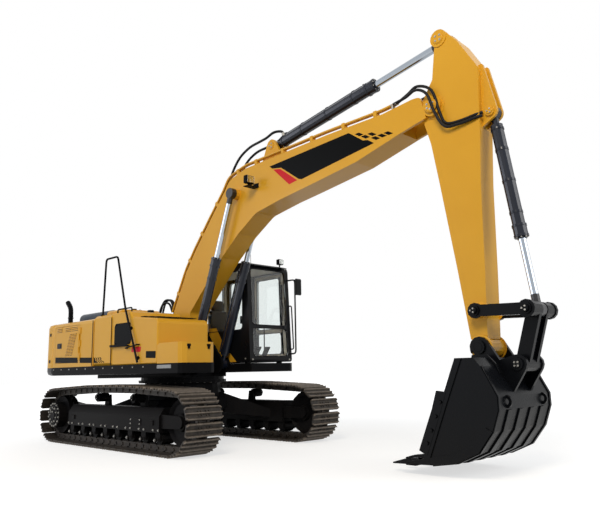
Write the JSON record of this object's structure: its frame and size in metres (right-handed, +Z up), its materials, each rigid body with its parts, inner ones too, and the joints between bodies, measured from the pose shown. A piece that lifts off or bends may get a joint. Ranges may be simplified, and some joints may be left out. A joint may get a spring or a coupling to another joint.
{
  "type": "crawler excavator",
  "caption": "Tracked hydraulic excavator with a swinging upper body, side cab, jointed boom and arm with cylinders, and a digging bucket on its linkage.",
  "frame": {"origin": "on the ground, under the middle of the bounding box", "axes": "+X forward, towards the bucket; +Y to the machine's left; +Z up. The right side with the tanks is at -Y"},
  "size_m": [9.225, 2.98, 5.177],
  "materials": {
    "yellow_paint": "semi-gloss warm yellow paint",
    "black_paint": "semi-gloss black paint",
    "work_black": "glossy blue-black paint on the bucket, links and barrels",
    "grey_cover": "satin grey-blue cover",
    "worn_steel": "worn brown-grey track steel",
    "chrome_rod": "bright chromed rod",
    "dark_trim": "matt dark trim",
    "seat_fabric": "dark woven fabric",
    "cab_glass": "clear safety glass"
  },
  "bodies": {
    "undercarriage": {"track_right": "worn_steel", "track_left": "worn_steel", "track_frame_right": "black_paint", "track_frame_left": "black_paint", "sprocket_right": "black_paint", "sprocket_left": "black_paint", "idler_right": "black_paint", "idler_left": "black_paint", "carbody": "black_paint", "slewing_ring": "black_paint"},
    "upper": {"revolving_frame": "black_paint", "counterweight": "yellow_paint", "engine": "black_paint", "swing_motor": "black_paint", "engine_housing": "yellow_paint", "hydraulic_tank": "yellow_paint", "fuel_tank": "yellow_paint", "tool_box": "yellow_paint", "exhaust_pipe": "black_paint", "handrail_right": "black_paint", "cab_shell": "black_paint", "windscreen": "cab_glass", "lower_window": "cab_glass", "side_window_right": "cab_glass", "side_window_left": "cab_glass", "rear_window": "cab_glass", "control_consoles": "dark_trim", "seat": "seat_fabric", "travel_pedals": "black_paint", "mirror": "black_paint", "cab_lamp": "black_paint"},
    "boom": {"boom": "yellow_paint"},
    "arm": {"arm": "yellow_paint"},
    "bucket": {"bucket": "work_black"},
    "side_links": {"side_link_right": "work_black", "side_link_left": "work_black"},
    "bucket_link": {"bucket_link": "work_black"},
    "boom_barrels": {"boom_cylinder_barrel_right": "work_black", "boom_cylinder_barrel_left": "work_black"},
    "boom_rods": {"boom_cylinder_rod_right": "chrome_rod", "boom_cylinder_rod_left": "chrome_rod"},
    "arm_barrel": {"arm_cylinder_barrel": "work_black"},
    "arm_rod": {"arm_cylinder_rod": "chrome_rod"},
    "bucket_barrel": {"bucket_cylinder_barrel": "work_black"},
    "bucket_rod": {"bucket_cylinder_rod": "chrome_rod"},
    "right_door": {"right_side_door": "yellow_paint"},
    "left_door": {"left_side_door": "yellow_paint"},
    "hood": {"engine_hood": "grey_cover"},
    "box_lid": {"tool_box_lid": "yellow_paint"},
    "cab_door": {"cab_door": "black_paint", "cab_door_glass": "cab_glass", "cab_door_lower_glass": "cab_glass"}
  },
  "joints": [
    {"name": "swing", "type": "hinge", "parent": "undercarriage", "child": "upper", "pos_m": [-1.8625, 0, 1.06], "axis": [0, 0, 1], "continuous": true},
    {"name": "boom_lift", "type": "hinge", "parent": "upper", "child": "boom", "pos_m": [-1.6275, 0, 1.717], "axis": [0, 1, 0], "range_deg": [-33, 70]},
    {"name": "arm_crowd", "type": "hinge", "parent": "boom", "child": "arm", "pos_m": [3.4915, 0, 4.224], "axis": [0, -1, 0], "range_deg": [-53, 64]},
    {"name": "bucket_curl", "type": "hinge", "parent": "arm", "child": "bucket", "pos_m": [3.9225, 0, 1.331], "axis": [0, -1, 0], "range_deg": [-105, 65]},
    {"name": "boom_barrel_tilt", "type": "hinge", "parent": "upper", "child": "boom_barrels", "pos_m": [-1.1625, 0, 1.27], "axis": [0, 1, 0], "range_deg": [-33, 70]},
    {"name": "boom_rod_stroke", "type": "slide", "parent": "boom_barrels", "child": "boom_rods", "axis": [0.3554, 0, 0.9347], "range_m": [-0.73, 0.35]},
    {"name": "arm_barrel_tilt", "type": "hinge", "parent": "boom", "child": "arm_barrel", "pos_m": [0.5425, 0, 4.553], "axis": [0, -1, 0], "range_deg": [-4, 5]},
    {"name": "arm_rod_stroke", "type": "slide", "parent": "arm_barrel", "child": "arm_rod", "axis": [0.9863, 0, 0.1649], "range_m": [-0.85, 0.71]},
    {"name": "side_link_turn", "type": "hinge", "parent": "arm", "child": "side_links", "pos_m": [3.9355, 0, 1.72], "axis": [0, -1, 0], "range_deg": [-78, 49]},
    {"name": "bucket_link_turn", "type": "hinge", "parent": "bucket", "child": "bucket_link", "pos_m": [4.3475, 0, 1.144], "axis": [0, -1, 0], "range_deg": [-37, 59]},
    {"name": "bucket_barrel_tilt", "type": "hinge", "parent": "arm", "child": "bucket_barrel", "pos_m": [4.1875, 0, 3.97], "axis": [0, -1, 0], "range_deg": [-8, 5]},
    {"name": "bucket_rod_stroke", "type": "slide", "parent": "bucket_barrel", "child": "bucket_rod", "axis": [0.1439, 0, -0.9896], "range_m": [-0.39, 0.62]},
    {"name": "right_door_swing", "type": "hinge", "parent": "upper", "child": "right_door", "pos_m": [-2.9655, -1.3725, 1.65765], "axis": [0, 0, 1], "range_deg": [0, 75]},
    {"name": "left_door_swing", "type": "hinge", "parent": "upper", "child": "left_door", "pos_m": [-2.8455, 1.3725, 1.65765], "axis": [0, 0, -1], "range_deg": [0, 75]},
    {"name": "hood_lift", "type": "hinge", "parent": "upper", "child": "hood", "pos_m": [-2.65, 0, 2.0625], "axis": [0, 1, 0], "range_deg": [0, 60]},
    {"name": "box_lid_lift", "type": "hinge", "parent": "upper", "child": "box_lid", "pos_m": [-0.5302, -1.065, 1.5475], "axis": [0, -1, 0], "range_deg": [0, 80]},
    {"name": "cab_door_swing", "type": "hinge", "parent": "upper", "child": "cab_door", "pos_m": [-1.4795, 1.3525, 2.0975], "axis": [0, 0, 1], "range_deg": [0, 160]}
  ],
  "couplings": [
    {"joint": "boom_barrel_tilt", "follows": "boom_lift", "ratio": 0.987},
    {"joint": "boom_rod_stroke", "follows": "boom_lift", "m_per_rad": -0.582},
    {"joint": "arm_barrel_tilt", "follows": "arm_crowd", "ratio": 0.061},
    {"joint": "arm_rod_stroke", "follows": "arm_crowd", "m_per_rad": -0.748},
    {"joint": "side_link_turn", "follows": "bucket_curl", "ratio": 0.736},
    {"joint": "bucket_link_turn", "follows": "bucket_curl", "ratio": -0.55},
    {"joint": "bucket_barrel_tilt", "follows": "bucket_curl", "ratio": 0.069},
    {"joint": "bucket_rod_stroke", "follows": "bucket_curl", "m_per_rad": -0.33}
  ]
}
